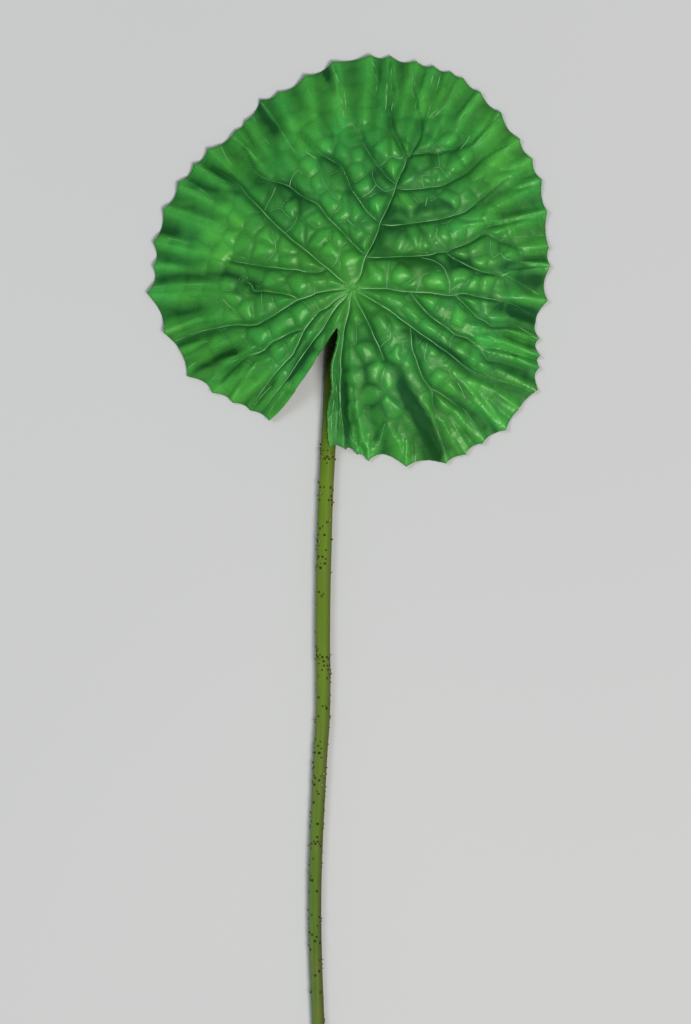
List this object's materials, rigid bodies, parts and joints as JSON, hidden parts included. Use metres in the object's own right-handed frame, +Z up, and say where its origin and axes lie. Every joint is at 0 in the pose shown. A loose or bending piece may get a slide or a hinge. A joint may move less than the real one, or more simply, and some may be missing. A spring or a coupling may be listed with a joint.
{
  "type": "water lily pad",
  "caption": "Round toothed lily pad leaf with a narrow notch, pleated rim and puffed veins, lying face up on its long thorny stem.",
  "frame": {"origin": "on the surface that the laid-down leaf and stem rest on, under the middle of the whole part", "axes": "+Y from the stem's cut end towards the leaf, +Z up from the surface through the leaf's upper face, +X to the right of the leaf seen from above with its notch towards -Y"},
  "size_m": [0.3028, 0.7762, 0.036],
  "materials": {
    "leaf": "satin, lightly waxy",
    "stem": "satin"
  },
  "bodies": {
    "root": {"leaf": "leaf", "stem": "stem"}
  },
  "joints": []
}
